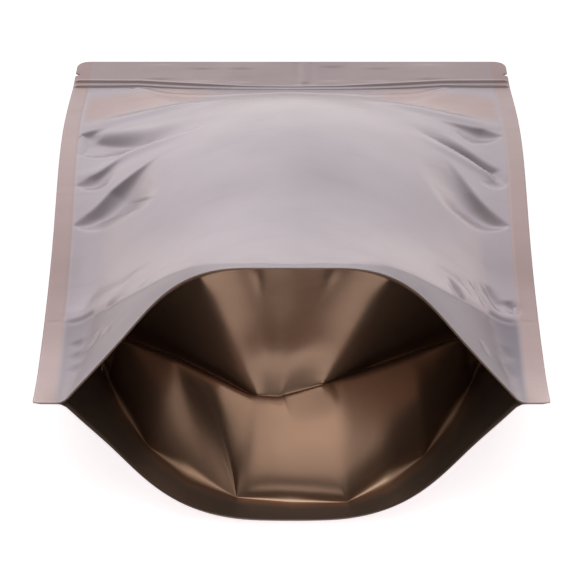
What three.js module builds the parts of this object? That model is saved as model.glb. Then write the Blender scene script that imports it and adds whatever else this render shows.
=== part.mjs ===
// An empty stand-up pouch of metallised film, pulled open at the bottom and lying on its back.
// Millimetres, +Z up. It rests on z = 0 with its bottom towards -Y and its zip end towards +Y,
// and the origin is under the middle of it.
import * as THREE from "three";

// Driving dimensions, as the pouch is cut and sealed flat
const POUCH_WIDTH = 230;
const POUCH_LENGTH = 350;
const HEADER = 26; // top edge down to the zip
const SIDE_SEAL = 8;
const END_SEAL = 12.5; // bottom seal at the middle of the pouch
const END_SEAL_REACH = 94; // from each side edge, where the bottom seal has come down to END_SEAL
const END_SEAL_CURVE = 1.2;
const GUSSET_SEAL_TOP = 82; // bottom edge up to where the bottom seals meet the side seals, at the fold
const CORNER_RADIUS = 6;
const NOTCH_DROP = 14; // top edge down to the tear notch
const NOTCH_DEPTH = 2.5;
const NOTCH_HALF_WIDTH = 1.8;
const LIP = 1.2; // thickness of a sealed lip, and of the two panels together at a seal

// How far it is puffed out
const PUFF_ANGLE = 0.856; // steepest slope of the panels across the pouch, radians, at the bottom
const PUFF_POWER = 2.475;
const PUFF_END = 1.27;
const FLARE_LENGTH = 126; // the bottom end flares over this length
const LIP_LIFT = 2.4; // the bottom edge of the back panel stands this far off the floor
const LIP_LIFT_LENGTH = 45; // and comes down to it over this length

// Gusset film, seen from outside as a recess between the two bottom lips
const RECESS_START = 12; // distance from the side edge where the lips part
const FOLD_HEIGHT = 34; // of the gusset's fold over the floor, at the middle
const FOLD_REACH = 27.5; // from the bottom corners in to the fold, at the middle
const FOLD_CURVE = 1.1;
const GUSSET_BULGE = 8; // how far its lower half swells out towards the bottom edge
const BULGE_EASE = 40; // the swelling grows over this width from each end

// Zip
const RIB_SPACING = 5.5;
const RIB_HEIGHT = 0.9;
const RIB_HALF_WIDTH = 1.3;
const RIB_END = 2; // the ribs stop this far from the side edges

const HALF = POUCH_WIDTH / 2;
const ZIP = POUCH_LENGTH - HEADER;

// Where across each panel (from its side edge) the slope starts, is full, eases off and ends.
// The first set holds at the bottom edge, the second beyond the flare.
const FRONT_SPAN = { mouth: [8, 14.1, 52, 104], body: [8, 26, 11.5, 144] };
const BACK_SPAN = { mouth: [8, 14, 38, 114], body: [8, 12.2, 12, 58] };

// Pinched folds of the front panel: from the side seal at `at` to a tip at [across, along]
const PINCHES = [
  { side: -1, at: 258, tip: [40, 262], depth: 1.6, width: 5 },
  { side: -1, at: 206, tip: [82, 219], depth: 4.2, width: 8 },
  { side: -1, at: 163, tip: [52, 190], depth: 4, width: 7 },
  { side: 1, at: 257, tip: [36, 262], depth: 1.8, width: 5 },
  { side: 1, at: 201, tip: [60, 237], depth: 4, width: 8 },
  { side: 1, at: 163, tip: [37, 196], depth: 4, width: 7 },
];

const lerp = THREE.MathUtils.lerp;
const clamp = THREE.MathUtils.clamp;
const ease = (t) => THREE.MathUtils.smoothstep(t, 0, 1);

// One panel's cross-section at one slope: film coordinate u from the side edge to the middle,
// with x the distance from the middle and z the height over the side edge.
const STEPS = 115;

function section(slope, [start, full, easing, end]) {
  const du = HALF / STEPS;
  const out = [0];
  const up = [0];
  let before = 0;
  for (let i = 1; i <= STEPS; i++) {
    const u = i * du;
    const angle = slope * ease((u - start) / (full - start)) * (1 - ease((u - easing) / (end - easing)));
    out.push(out[i - 1] + ((Math.cos(before) + Math.cos(angle)) / 2) * du);
    up.push(up[i - 1] + ((Math.sin(before) + Math.sin(angle)) / 2) * du);
    before = angle;
  }
  return { x: out.map((v) => out[STEPS] - v), z: up };
}

// The back panel's slope is the one that keeps its side edges under the front panel's
function matchingSlope(target, span, guess) {
  let slope = guess;
  for (let turn = 0; turn < 16; turn++) {
    const miss = section(slope, span).x[0] - target;
    const change = (section(slope + 1e-3, span).x[0] - target - miss) / 1e-3;
    if (Math.abs(change) < 1e-3) {
      break;
    }
    slope = clamp(slope - clamp(miss / change, -0.2, 0.2), 0, 2.2);
  }
  return slope;
}

// Every cross-section from the bottom edge (s = 0) to the top edge. Each lengthwise line of
// film keeps its length, so a panel that narrows and sinks also draws back along Y.
const ROWS = 175;
const panels = { front: [], back: [] };
for (let j = 0; j <= ROWS; j++) {
  const s = (j / ROWS) * POUCH_LENGTH;
  const puff = PUFF_ANGLE * (1 - clamp(s / ZIP, 0, 1) ** PUFF_POWER) ** PUFF_END;
  const flare = clamp(1 - s / FLARE_LENGTH, 0, 1) ** 2;
  const span = (set) => set.body.map((body, i) => lerp(body, set.mouth[i], flare));
  const front = section(puff, span(FRONT_SPAN));
  const back = section(matchingSlope(front.x[0], span(BACK_SPAN), puff), span(BACK_SPAN));
  const lift = LIP_LIFT * clamp(1 - s / LIP_LIFT_LENGTH, 0, 1) ** 2;
  const seam = back.z[STEPS] + lift + LIP / 2;
  panels.front.push({ x: front.x, z: front.z.map((v) => seam + LIP / 2 + v) });
  panels.back.push({ x: back.x, z: back.z.map((v) => seam - LIP / 2 - v) });
}
for (const rows of [panels.front, panels.back]) {
  const ds = POUCH_LENGTH / ROWS;
  rows[ROWS].y = new Array(STEPS + 1).fill(0);
  for (let j = ROWS - 1; j >= 0; j--) {
    rows[j].y = rows[j].x.map((x, i) => {
      const dx = rows[j + 1].x[i] - x;
      const dz = rows[j + 1].z[i] - rows[j].z[i];
      return rows[j + 1].y[i] - Math.sqrt(Math.max(ds * ds - dx * dx - dz * dz, 0.04 * ds * ds));
    });
  }
}

function onPanel(rows, u, s) {
  const a = clamp(u / HALF, 0, 1) * STEPS;
  const b = clamp(s / POUCH_LENGTH, 0, 1) * ROWS;
  const i = Math.min(Math.floor(a), STEPS - 1);
  const j = Math.min(Math.floor(b), ROWS - 1);
  const read = (key) =>
    lerp(
      lerp(rows[j][key][i], rows[j][key][i + 1], a - i),
      lerp(rows[j + 1][key][i], rows[j + 1][key][i + 1], a - i),
      b - j,
    );
  return new THREE.Vector3(read("x"), read("y"), read("z"));
}

// The film's edge is rounded at the top corners and nicked at the tear notches
function trim(u, s) {
  const overCorner = Math.max(s - (POUCH_LENGTH - CORNER_RADIUS), 0);
  const corner = CORNER_RADIUS - Math.sqrt(Math.max(CORNER_RADIUS ** 2 - overCorner ** 2, 0));
  const fromNotch = Math.abs(s - (POUCH_LENGTH - NOTCH_DROP)) / NOTCH_HALF_WIDTH;
  const edge = Math.max(corner, NOTCH_DEPTH * Math.max(1 - fromNotch, 0));
  return u < SIDE_SEAL ? edge + (u * (SIDE_SEAL - edge)) / SIDE_SEAL : u;
}

function pinch({ at, tip, depth, width }, u, s) {
  const run = new THREE.Vector2(tip[0] - SIDE_SEAL, tip[1] - at);
  const here = new THREE.Vector2(u - SIDE_SEAL, s - at);
  const along = clamp(here.dot(run) / run.lengthSq(), 0, 1);
  const away = here.addScaledVector(run, -along).length();
  return depth * Math.sin(Math.PI * clamp(along * 0.9 + 0.05, 0, 1)) * Math.exp(-((away / width) ** 2));
}

function frontRelief(side, u, s) {
  let height = 0;
  for (const fold of PINCHES.filter((each) => each.side === side)) {
    height -= pinch(fold, u, s);
  }
  for (const rib of [ZIP, ZIP + RIB_SPACING]) {
    const over = clamp(1 - Math.abs(s - rib) / RIB_HALF_WIDTH, 0, 1);
    height += u < RIB_END ? 0 : RIB_HEIGHT * over;
  }
  return height;
}

function normalOf(rows, u, s) {
  const h = 1.5;
  const across = onPanel(rows, u + h, s).sub(onPanel(rows, u - h, s));
  const along = onPanel(rows, u, s + h).sub(onPanel(rows, u, s - h));
  const n = along.cross(across).normalize();
  return n.z < 0 ? n.negate() : n;
}

const frontOuter = (side, u, s) => {
  const flat = trim(u, s);
  const raise = frontRelief(side, flat, s);
  return onPanel(panels.front, flat, s).addScaledVector(normalOf(panels.front, flat, s), raise);
};
const backOuter = (u, s) => onPanel(panels.back, trim(u, s), s);
const middle = (u, s) => onPanel(panels.front, u, s).lerp(onPanel(panels.back, u, s), 0.5);

function lipInner(rows, u, s) {
  if (u <= RECESS_START) {
    return middle(u, s);
  }
  const inward = rows === panels.front ? -LIP : LIP;
  return onPanel(rows, u, s).addScaledVector(normalOf(rows, u, s), inward);
}

// The bottom seals run from the fold level at the side seals down to the end seal
function sealTop(u) {
  const t = clamp((u - RECESS_START) / (END_SEAL_REACH - RECESS_START), 0, 1);
  return END_SEAL + (GUSSET_SEAL_TOP - END_SEAL) * (1 - t) ** END_SEAL_CURVE;
}

const foldEnd = middle(RECESS_START, sealTop(RECESS_START));

const bottomCorner = middle(0, 0);

// The gusset's fold, in line with the two seal points of its column
function gussetFold(upper, lower) {
  const x = (upper.x + lower.x) / 2;
  const t = clamp(x / foldEnd.x, 0, 1);
  const y = lerp(bottomCorner.y + FOLD_REACH, foldEnd.y, t ** FOLD_CURVE);
  return new THREE.Vector3(x, y, lerp(FOLD_HEIGHT, foldEnd.z, t));
}

// Rows of the front and back panels, and the rows of each loop through the recess
const FIRST_ROW = 4;
const BODY_END = ZIP - 2 * RIB_SPACING;
const bodyRows = (count) =>
  Array.from({ length: count }, (_, i) => lerp(FIRST_ROW, BODY_END, i / count));
const ribRows = [ZIP, ZIP + RIB_SPACING].flatMap((rib) => [-1, 0, 1].map((d) => rib + d * RIB_HALF_WIDTH));
const notchRows = [-1, 0, 1].map((d) => POUCH_LENGTH - NOTCH_DROP + d * NOTCH_HALF_WIDTH);
const cornerRows = [1, 0.6, 0.3, 0.12, 0].map((d) => POUCH_LENGTH - CORNER_RADIUS * d);
const upperEnd = [BODY_END, ZIP - RIB_SPACING, ...ribRows, ...notchRows, ...cornerRows];
const FRONT_ROWS = [0, ...bodyRows(42), ...upperEnd];
const BACK_ROWS = [0, ...bodyRows(18), ...upperEnd];
const LIP_STEPS = 4;
const GUSSET_STEPS = 6;

// Columns crowd towards the side seals, where the panels bend most
const INNER_COLUMNS = 16;
const CROWDING = 1.15;
const COLUMNS = [0, SIDE_SEAL / 2, SIDE_SEAL];
for (let i = 0; i <= INNER_COLUMNS; i++) {
  COLUMNS.push(lerp(RECESS_START, HALF, (i / INNER_COLUMNS) ** CROWDING));
}

// From a lip's inner edge over the fold to the other lip: the upper half is taut and the
// lower half swells out
function gussetColumn(u, from, to) {
  const fold = gussetFold(from, to);
  const outward = new THREE.Vector3(0, to.z - fold.z, fold.y - to.y).normalize();
  const swell = GUSSET_BULGE * ease((u - RECESS_START) / BULGE_EASE);
  const points = [];
  for (let k = 1; k <= GUSSET_STEPS; k++) {
    points.push(from.clone().lerp(fold, k / GUSSET_STEPS));
  }
  for (let k = 1; k < GUSSET_STEPS; k++) {
    const t = k / GUSSET_STEPS;
    points.push(fold.clone().lerp(to, t).addScaledVector(outward, swell * Math.sin(Math.PI * t)));
  }
  return points;
}

// One loop of points down the front, through the recess and back up the back panel
function column(side, u) {
  const front = FRONT_ROWS.map((s) => frontOuter(side, u, s)).reverse();
  const back = BACK_ROWS.map((s) => backOuter(u, s));
  const hollow = u >= RECESS_START;
  let inner = [middle(u, 0)];
  if (hollow) {
    const lip = (rows) =>
      Array.from({ length: LIP_STEPS + 1 }, (_, k) => lipInner(rows, u, (sealTop(u) * k) / LIP_STEPS));
    const upper = lip(panels.front);
    const lower = lip(panels.back).reverse();
    inner = [...upper, ...gussetColumn(u, upper[LIP_STEPS], lower[0]), ...lower];
  }
  for (const p of [...front, ...inner, ...back]) {
    p.x = u < HALF ? p.x * side : 0;
  }
  return { front, inner, back, hollow };
}

// Welds points by position and keeps only triangles with three different corners
class Shell {
  constructor() {
    this.keys = new Map();
    this.positions = [];
    this.triangles = [];
  }

  vertex(p) {
    const key = [p.x, p.y, p.z].map((v) => Math.round(v * 1e4)).join(" ");
    if (!this.keys.has(key)) {
      this.keys.set(key, this.keys.size);
      this.positions.push(p.x, p.y, p.z);
    }
    return this.keys.get(key);
  }

  triangle(a, b, c) {
    const [i, j, k] = [a, b, c].map((p) => this.vertex(p));
    if (i !== j && j !== k && k !== i) {
      this.triangles.push(i, k, j);
    }
  }

  // Joins two rows of points that face each other, whether or not they hold equally many
  strip(left, right) {
    let i = 0;
    let j = 0;
    while (i < left.length - 1 || j < right.length - 1) {
      const leftAhead = (i + 1) / (left.length - 1);
      const rightAhead = (j + 1) / (right.length - 1);
      if (j >= right.length - 1 || (i < left.length - 1 && leftAhead <= rightAhead)) {
        this.triangle(left[i], right[j], left[i + 1]);
        i++;
      } else {
        this.triangle(left[i], right[j], right[j + 1]);
        j++;
      }
    }
  }

  geometry() {
    const geometry = new THREE.BufferGeometry();
    geometry.setAttribute("position", new THREE.Float32BufferAttribute(this.positions, 3));
    geometry.setIndex(this.triangles);
    geometry.computeVertexNormals();
    return geometry;
  }
}

function pouchGeometry() {
  const left = COLUMNS.map((u) => column(-1, u));
  const right = COLUMNS.slice(0, -1).map((u) => column(1, u)).reverse();
  const all = [...left, ...right];
  const shell = new Shell();
  for (let i = 0; i < all.length - 1; i++) {
    const through = all[i].hollow && all[i + 1].hollow;
    const [a, b] = [all[i], all[i + 1]].map(({ front, inner, back }) => {
      return [...front, ...(through ? inner : inner.slice(0, 1)), ...back];
    });
    shell.strip(a, b);
  }
  closeSide(shell, all[0], true);
  closeSide(shell, all[all.length - 1], false);
  shell.strip(
    all.map(({ front }) => front[0]),
    all.map(({ back }) => back[back.length - 1]),
  );
  return shell.geometry();
}

// A side edge: its front and back rows meet the middle of the lip at the bottom
function closeSide(shell, { front, inner, back }, isLeft) {
  const down = [...front, inner[0]];
  const up = [...back].reverse();
  up.push(inner[0]);
  shell.strip(isLeft ? up : down, isLeft ? down : up);
}

const film = new THREE.MeshStandardMaterial({ color: 0xa48a7c, metalness: 0.85, roughness: 0.38 });
const geometry = pouchGeometry();
geometry.computeBoundingBox();
const pouch = new THREE.Mesh(geometry, film);
pouch.name = "pouch";
pouch.position.y = -(geometry.boundingBox.min.y + geometry.boundingBox.max.y) / 2;

const model = new THREE.Group();
model.add(pouch);
export default model;
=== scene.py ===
"""An empty stand-up pouch of matt bronze film, lying on its back with its gusset pulled open."""

import math

import bpy
import numpy as np
from bpy.props import FloatProperty, FloatVectorProperty, PointerProperty
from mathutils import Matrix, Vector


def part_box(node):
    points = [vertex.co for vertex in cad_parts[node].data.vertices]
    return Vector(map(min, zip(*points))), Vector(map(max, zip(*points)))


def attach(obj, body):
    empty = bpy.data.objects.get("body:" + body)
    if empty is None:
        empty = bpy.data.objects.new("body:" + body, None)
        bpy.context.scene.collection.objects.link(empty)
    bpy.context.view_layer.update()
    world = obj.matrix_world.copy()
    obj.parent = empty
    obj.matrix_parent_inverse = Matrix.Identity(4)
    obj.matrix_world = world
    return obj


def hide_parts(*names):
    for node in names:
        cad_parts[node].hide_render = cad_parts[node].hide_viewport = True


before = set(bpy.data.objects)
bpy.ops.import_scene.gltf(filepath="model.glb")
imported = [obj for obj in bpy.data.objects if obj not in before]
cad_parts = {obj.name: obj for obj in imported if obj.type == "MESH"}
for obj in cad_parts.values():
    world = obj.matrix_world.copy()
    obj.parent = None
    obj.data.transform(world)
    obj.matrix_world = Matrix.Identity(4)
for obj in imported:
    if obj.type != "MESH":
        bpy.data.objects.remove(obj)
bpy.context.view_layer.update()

bl_info = {
    "name": "Stand-up Pouch",
    "version": (1, 0, 0),
    "blender": (4, 5, 0),
    "location": "View3D > Sidebar > Pouch",
    "description": "Builds an opened stand-up pouch of metallised film with its seals, zip and gusset",
    "category": "Add Mesh",
}

MM = 0.001

# The pouch as it is cut and sealed flat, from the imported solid's box
pouch_low, pouch_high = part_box("pouch")
POUCH_WIDTH = pouch_high[0] - pouch_low[0]
POUCH_LENGTH = pouch_high[1] - pouch_low[1]
HALF = POUCH_WIDTH / 2
TOP_EDGE = pouch_high[1]
HEADER = 26 * MM
ZIP = POUCH_LENGTH - HEADER
SIDE_SEAL = 8 * MM
SEAM_STACK = 0.6 * MM  # from one panel's outer face to the other's at the side seals

# How it is puffed out: the panels' steepest slope in radians, how that dies away towards the zip,
# how far the mouth's flare reaches, and how the back lip lifts off the floor
PUFF_ANGLE = 0.856
PUFF_POWER = 2.475
PUFF_END = 1.27
FLARE_LENGTH = 126 * MM
LIP_LIFT = 2.4 * MM
LIP_LIFT_LENGTH = 45 * MM
# Where the slope starts, is full, starts to ease off and ends, in millimetres from the side edge
FRONT_SPAN = {"mouth": (8, 14.1, 52, 104), "body": (8, 26, 11.5, 144)}
BACK_SPAN = {"mouth": (8, 14, 38, 114), "body": (8, 12.2, 12, 58)}
# The back panel's slope, in radians, is found in rounds, so that it is as wide as the front panel
SLOPE_ROUNDS = 16
SLOPE_PROBE = 1e-3
SLOPE_STEP = 0.2
SLOPE_LIMIT = 2.2
LEAST_CHANGE = 1e-6
# The least share, squared, of a lengthwise line that runs along Y where the film is steep
LEAST_RUN_SQUARED = 0.04
TINY = 1e-12


def ease(t):
    """A smooth step from 0 to 1."""
    t = np.clip(t, 0, 1)
    return t * t * (3 - 2 * t)


def lerp(a, b, t):
    """From a, where t is 0, to b, where t is 1."""
    return a + (b - a) * t


def bell(distance, width):
    """1 on a line or at a point, dying away to 0 on both sides of it."""
    return np.exp(-((distance / width) ** 2))


def blurred(rows):
    """Each row but the first and the last, averaged with the rows beside it."""
    return (rows[:-2] + 2 * rows[1:-1] + rows[2:]) / 4


def turned(vectors, upward):
    """The vectors at unit length, all turned up (1) or down (-1)."""
    vectors = vectors / np.maximum(np.linalg.norm(vectors, axis=-1, keepdims=True), TINY)
    return vectors * np.where(vectors[..., 2:] * upward < 0, -1, 1)


def mirrored(points, across):
    """Points of the right half, moved over to the left half where `across` is below 0."""
    points[..., 0] *= np.where(across < 0, -1.0, 1.0)
    return points


# ---------------------------------------------------------------- the panels' shape


class Panels:
    """Both puffed panels as fine tables over u, from a side edge, and s, from the bottom edge."""

    STEP_U = 0.5 * MM
    STEP_S = 1.25 * MM

    def __init__(self):
        self.u = np.linspace(0, HALF, round(HALF / self.STEP_U) + 1)
        self.s = np.linspace(0, POUCH_LENGTH, round(POUCH_LENGTH / self.STEP_S) + 1)
        t = np.clip(self.s / ZIP, 0, 1)
        puff = PUFF_ANGLE * (1 - t**PUFF_POWER) ** PUFF_END
        flare = np.clip(1 - self.s / FLARE_LENGTH, 0, 1) ** 2
        front_x, front_z = self.section(puff, self.span(FRONT_SPAN, flare))
        slope = puff.copy()
        back_span = self.span(BACK_SPAN, flare)
        for _ in range(SLOPE_ROUNDS):
            miss = self.section(slope, back_span)[0][0] - front_x[0]
            probed = self.section(slope + SLOPE_PROBE, back_span)[0][0] - front_x[0]
            change = (probed - miss) / SLOPE_PROBE
            steep = np.abs(change) > LEAST_CHANGE
            step = np.where(steep, miss / np.where(steep, change, 1), 0)
            slope = np.clip(slope - np.clip(step, -SLOPE_STEP, SLOPE_STEP), 0, SLOPE_LIMIT)
        back_x, back_z = self.section(slope, back_span)
        lift = LIP_LIFT * np.clip(1 - self.s / LIP_LIFT_LENGTH, 0, 1) ** 2
        seam = back_z[-1] + lift
        self.front = self.film(front_x, seam + SEAM_STACK + front_z)
        self.back = self.film(back_x, seam - back_z)

    def span(self, ends, flare):
        """The four places of a span at each s, between the body's and the mouth's."""
        return [lerp(body, mouth, flare) * MM for body, mouth in zip(ends["body"], ends["mouth"])]

    def running_sum(self, values):
        """Adds values up along u, from 0 at the side edge."""
        du = self.u[1] - self.u[0]
        steps = np.cumsum((values[1:] + values[:-1]) / 2 * du, axis=0)
        return np.vstack([np.zeros(values.shape[1]), steps])

    def section(self, slope, span):
        """How far each point is from the middle, and how far above the side seal."""
        start, full, easing, end = span
        u = self.u[:, None]
        rising = ease((u - start) / (full - start))
        falling = 1 - ease((u - easing) / (end - easing))
        angle = slope * rising * falling
        inward = self.running_sum(np.cos(angle))
        return inward[-1] - inward, self.running_sum(np.sin(angle))

    def film(self, x, z):
        """Draws each lengthwise line back along Y so that the film keeps its length."""
        ds = self.s[1] - self.s[0]
        across = np.gradient(x, ds, axis=1)
        up = np.gradient(z, ds, axis=1)
        run = np.sqrt(np.clip(1 - across**2 - up**2, LEAST_RUN_SQUARED, 1))
        y = np.zeros_like(x)
        y[:, 1:] = np.cumsum((run[:, 1:] + run[:, :-1]) / 2 * ds, axis=1)
        y += TOP_EDGE - y[:, -1:]
        return np.stack([x, y, z], axis=-1)

    def at(self, table, u, s):
        """Points of one panel at any u and s, all arrays of one shape."""
        a = np.clip(u / HALF, 0, 1) * (len(self.u) - 1)
        b = np.clip(s / POUCH_LENGTH, 0, 1) * (len(self.s) - 1)
        i = np.minimum(a.astype(int), len(self.u) - 2)
        j = np.minimum(b.astype(int), len(self.s) - 2)
        a = (a - i)[..., None]
        b = (b - j)[..., None]
        near = lerp(table[i, j], table[i + 1, j], a)
        far = lerp(table[i, j + 1], table[i + 1, j + 1], a)
        return lerp(near, far, b)


PANELS = Panels()


# ---------------------------------------------------------------- meshes and relief

STEP_ROOT = 1.2  # how wide a fold's wall is at its two ends, in millimetres


def normals(grid, upward):
    """Unit normals of a grid of points, all turned up (1) or down (-1)."""
    return turned(np.cross(np.gradient(grid, axis=0), np.gradient(grid, axis=1)), upward)


def film_object(name, grid, flat, masks, outward):
    """A mesh of quads over a grid of points, with the flat film as its UV map and named masks."""
    columns, rows = grid.shape[:2]
    index = np.arange(columns * rows).reshape(columns, rows)
    corners = [index[:-1, :-1], index[1:, :-1], index[1:, 1:], index[:-1, 1:]]
    if not outward:
        corners.reverse()
    faces = np.stack(corners, axis=-1).reshape(-1, 4)
    mesh = bpy.data.meshes.new(name)
    mesh.from_pydata(grid.reshape(-1, 3).tolist(), [], faces.tolist())
    uv = mesh.uv_layers.new(name="Film")
    uv.data.foreach_set("uv", flat.reshape(-1, 2)[faces.ravel()].ravel())
    for label, values in masks.items():
        mask = mesh.attributes.new(label, "FLOAT", "POINT")
        mask.data.foreach_set("value", np.ascontiguousarray(values.ravel(), dtype=np.float32))
    mesh.shade_smooth()
    piece = bpy.data.objects.new(name, mesh)
    bpy.context.collection.objects.link(piece)
    return piece


def thicken(piece, thickness):
    """Gives the film its thickness, inwards from its outer face."""
    solid = piece.modifiers.new("film thickness", "SOLIDIFY")
    solid.thickness = thickness
    solid.offset = -1
    solid.use_even_offset = False


def hand_in(piece, material):
    """Gives the piece its finish, and sets it under the root body as one of the films that replace the
    solid, which is hidden.
    """
    piece.data.materials.append(material)
    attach(piece, "root")
    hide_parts("pouch")


def along_path(u, s, path):
    """For each film point in millimetres: how far it is from a bent line, which side of it it is on
    (1 on its left, going along it), and how far along the line it is, from 0 to 1."""
    points = np.array(path, dtype=float)
    lengths = np.linalg.norm(np.diff(points, axis=0), axis=1)
    before = np.concatenate([[0], np.cumsum(lengths)])
    nearest = np.full(u.shape, np.inf)
    turn = np.ones(u.shape)
    along = np.zeros(u.shape)
    for k, length in enumerate(lengths):
        ahead_u, ahead_s = (points[k + 1] - points[k]) / length
        du = u - points[k][0]
        ds = s - points[k][1]
        t = np.clip(du * ahead_u + ds * ahead_s, 0, length)
        away = np.hypot(du - t * ahead_u, ds - t * ahead_s)
        closer = away < nearest
        nearest = np.where(closer, away, nearest)
        turn = np.where(closer, np.sign(ahead_u * ds - ahead_s * du), turn)
        along = np.where(closer, (before[k] + t) / before[-1], along)
    return nearest, turn, along


def swell(along, peak):
    """Grows quickly from 0 at a line's root to 1 at `peak`, and dies away to 0 at its tip."""
    rising = np.sin(np.clip(along / peak, 0, 1) * math.pi / 2) ** 0.8
    return np.minimum(rising, ease((1 - along) / (1 - peak)))


def valley(u, s, path, depth, far, near, peak):
    """A valley along a path, from its root to its tip. Its far bank is wide and soft. Its near bank
    is narrow and meets the rest of the film at an edge."""
    away, turn, along = along_path(u, s, path)
    far_width = lerp(far[0], far[1], along)
    near_width = lerp(near[0], near[1], along)
    x = np.clip(away / np.where(turn > 0, far_width, near_width), 0, 1)
    bank = np.where(turn > 0, (1 - x) ** 2 * (1 + x), 1 - x**1.7)
    return -depth * swell(along, peak) * bank


def step_down(u, s, path, depth, wall, run, peak):
    """A step down from a crest along a path. The wall below the crest is up to `wall` wide, and the
    film comes back up over a long soft run."""
    away, turn, along = along_path(u, s, path)
    below = -turn * away
    grown = swell(along, peak)
    width = STEP_ROOT + (wall - STEP_ROOT) * grown
    fall = np.sin(np.clip(below / width, 0, 1) * math.pi / 2)
    back_up = 1 - ease((below - width) / run)
    return -depth * grown * fall * back_up


def ridge(u, s, path, height, width, peak=0.5):
    """A rounded ridge, or with a height below 0 a groove, along a path."""
    away, _, along = along_path(u, s, path)
    return height * swell(along, peak) * bell(away, width)


# Folds of the front panel, in millimetres of film from that side's edge and from the bottom edge,
# each from its root at the side seal to its tip
LEFT_VALLEYS = (
    dict(path=((9, 258), (24, 245), (41, 231), (55, 224), (68, 221), (81, 220)), depth=4.6,
         far=(8, 22), near=(22, 5), peak=0.4),
)
RIGHT_VALLEYS = (
    dict(path=((8.5, 200), (16, 214), (27, 221), (44, 229), (60, 239)), depth=3.2,
         far=(3, 15), near=(2, 4), peak=0.55),
)
LEFT_STEPS = (
    dict(path=((8, 200), (15, 208), (25, 212), (36, 214)), depth=1.7, wall=8, run=12, peak=0.25),
    dict(path=((8, 162), (14, 171), (26, 184), (40, 190), (54, 195)), depth=4.4, wall=14, run=34,
         peak=0.45),
    dict(path=((8, 259), (15, 263), (24, 264)), depth=0.9, wall=4, run=8, peak=0.3),
)
RIGHT_STEPS = (
    dict(path=((8, 257), (18, 264), (32, 263), (46, 260)), depth=2.6, wall=10, run=18, peak=0.3),
    dict(path=((8, 199), (13, 207), (20, 213)), depth=1.0, wall=5, run=8, peak=0.3),
    dict(path=((8, 162), (18, 175), (26, 184), (35, 197), (42, 206)), depth=3.6, wall=12, run=26,
         peak=0.3),
)
# Soft ridges and grooves on both sides: path, height, width, peak
BOTH_RIDGES = (
    (((8, 84), (23, 92), (39, 82), (52, 82), (62, 96)), 1.3, 7, 0.4),
    (((9, 266), (23, 272), (44, 272), (69, 276), (89, 284)), 1.4, 6, 0.5),
    (((34, 322), (45, 300), (57, 273)), 0.9, 7, 0.4),
)
LEFT_RIDGES = (
    (((7, 208), (15, 211), (37, 216), (66, 211), (80, 215)), 1.0, 5, 0.5),
)
RIGHT_RIDGES = (
    (((10, 203), (20, 212), (43, 217), (57, 229)), 0.8, 5, 0.5),
)
# The line where the gusset is sealed to the front panel
SEAL_LINE = ((7, 83), (20, 84), (38, 73), (54, 61.5), (66, 55), (78, 46), (97, 20), (116, 14))
# Small dimples and pleats where the seal has shrunk: path, depth, width
LEFT_DIMPLES = (
    (((12, 62), (18, 67)), 0.8, 1.8),
    (((12, 50), (18, 56)), 0.8, 1.8),
    (((12, 38), (18, 44)), 0.8, 1.8),
    (((22, 50), (28, 61)), 0.7, 1.8),
    (((30, 56), (34, 46)), 0.6, 1.8),
    (((30, 78), (40, 72)), 0.6, 2.0),
    (((50, 68), (57, 62)), 0.6, 2.0),
    (((0, 24), (4, 26), (7, 28)), 0.06, 1.3),
    (((0, 84), (4, 84), (9, 85)), 0.18, 0.9),
)
RIGHT_DIMPLES = (
    (((47, 82), (38, 69)), 1.2, 2.4),
    (((39, 96), (31, 80)), 1.0, 2.2),
    (((31, 101), (23, 82)), 1.4, 2.4),
    (((22, 108), (14, 87)), 1.5, 2.6),
    (((13, 101), (8, 89)), 1.2, 2.6),
    (((16, 61), (12, 48)), 0.6, 2.0),
    (((16, 44), (13, 28)), 0.6, 2.4),
    (((29, 45), (26, 30)), 0.5, 2.2),
    (((0, 26), (3, 28), (7, 31)), 0.06, 1.3),
    (((0, 84), (4, 84), (9, 85)), 0.18, 0.9),
)

# The shut zip under the film, from the side edge to the middle: its upper rib, its lower rib and
# the edge of its flange
UPPER_RIB = ((0, 329.3), (35, 329), (60, 326.5), (90, 323.5), (116, 322.5))
LOWER_RIB = ((0, 323.5), (35, 324), (60, 320.5), (90, 317), (116, 315.5))
FLANGE_EDGE = ((32, 322), (50, 310), (75, 300), (98, 301), (116, 305))
ZIP_LINES = ((UPPER_RIB, 0.8, 1.0), (LOWER_RIB, 1.0, 0.9), (FLANGE_EDGE, 0.6, 1.8))
# Dents of the header, as (distance right of the middle, s from, s to, depth, width)
HEADER_DENTS = (
    (3, 324, 351, 0.3, 1.2),
    (7, 326, 351, -0.25, 1.6),
    (11, 324, 351, 0.25, 1.3),
    (-48, 328, 344, 0.16, 7),
    (-27, 327, 344, 0.16, 6),
    (22, 328, 346, 0.16, 6),
    (46, 328, 344, 0.14, 7),
    (-70, 330, 348, -0.16, 8),
    (74, 330, 348, -0.16, 8),
)
DENT_RUN = 3  # length over which a dent dies away at each end

# Lines pressed into the front panel, and where the folds start, in millimetres
SEAL_LINE_DEPTH = 0.5
SEAL_LINE_WIDTH = 1.8
GROOVE_U = 8.2
GROOVE_WIDTH = 0.6
GROOVE_START = 86
GROOVE_END = 322
GROOVE_RUN = 4
FOLD_START_U = 7.6
FOLD_START_RUN = 1.6


def zip_relief(u, s):
    """The zip's lines as a share of the height of its lower rib."""
    height = np.zeros(u.shape)
    for path, rise, width in ZIP_LINES:
        away, _, along = along_path(u, s, path)
        height += rise * ease(along / 0.02) * bell(away, width)
    return height


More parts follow.
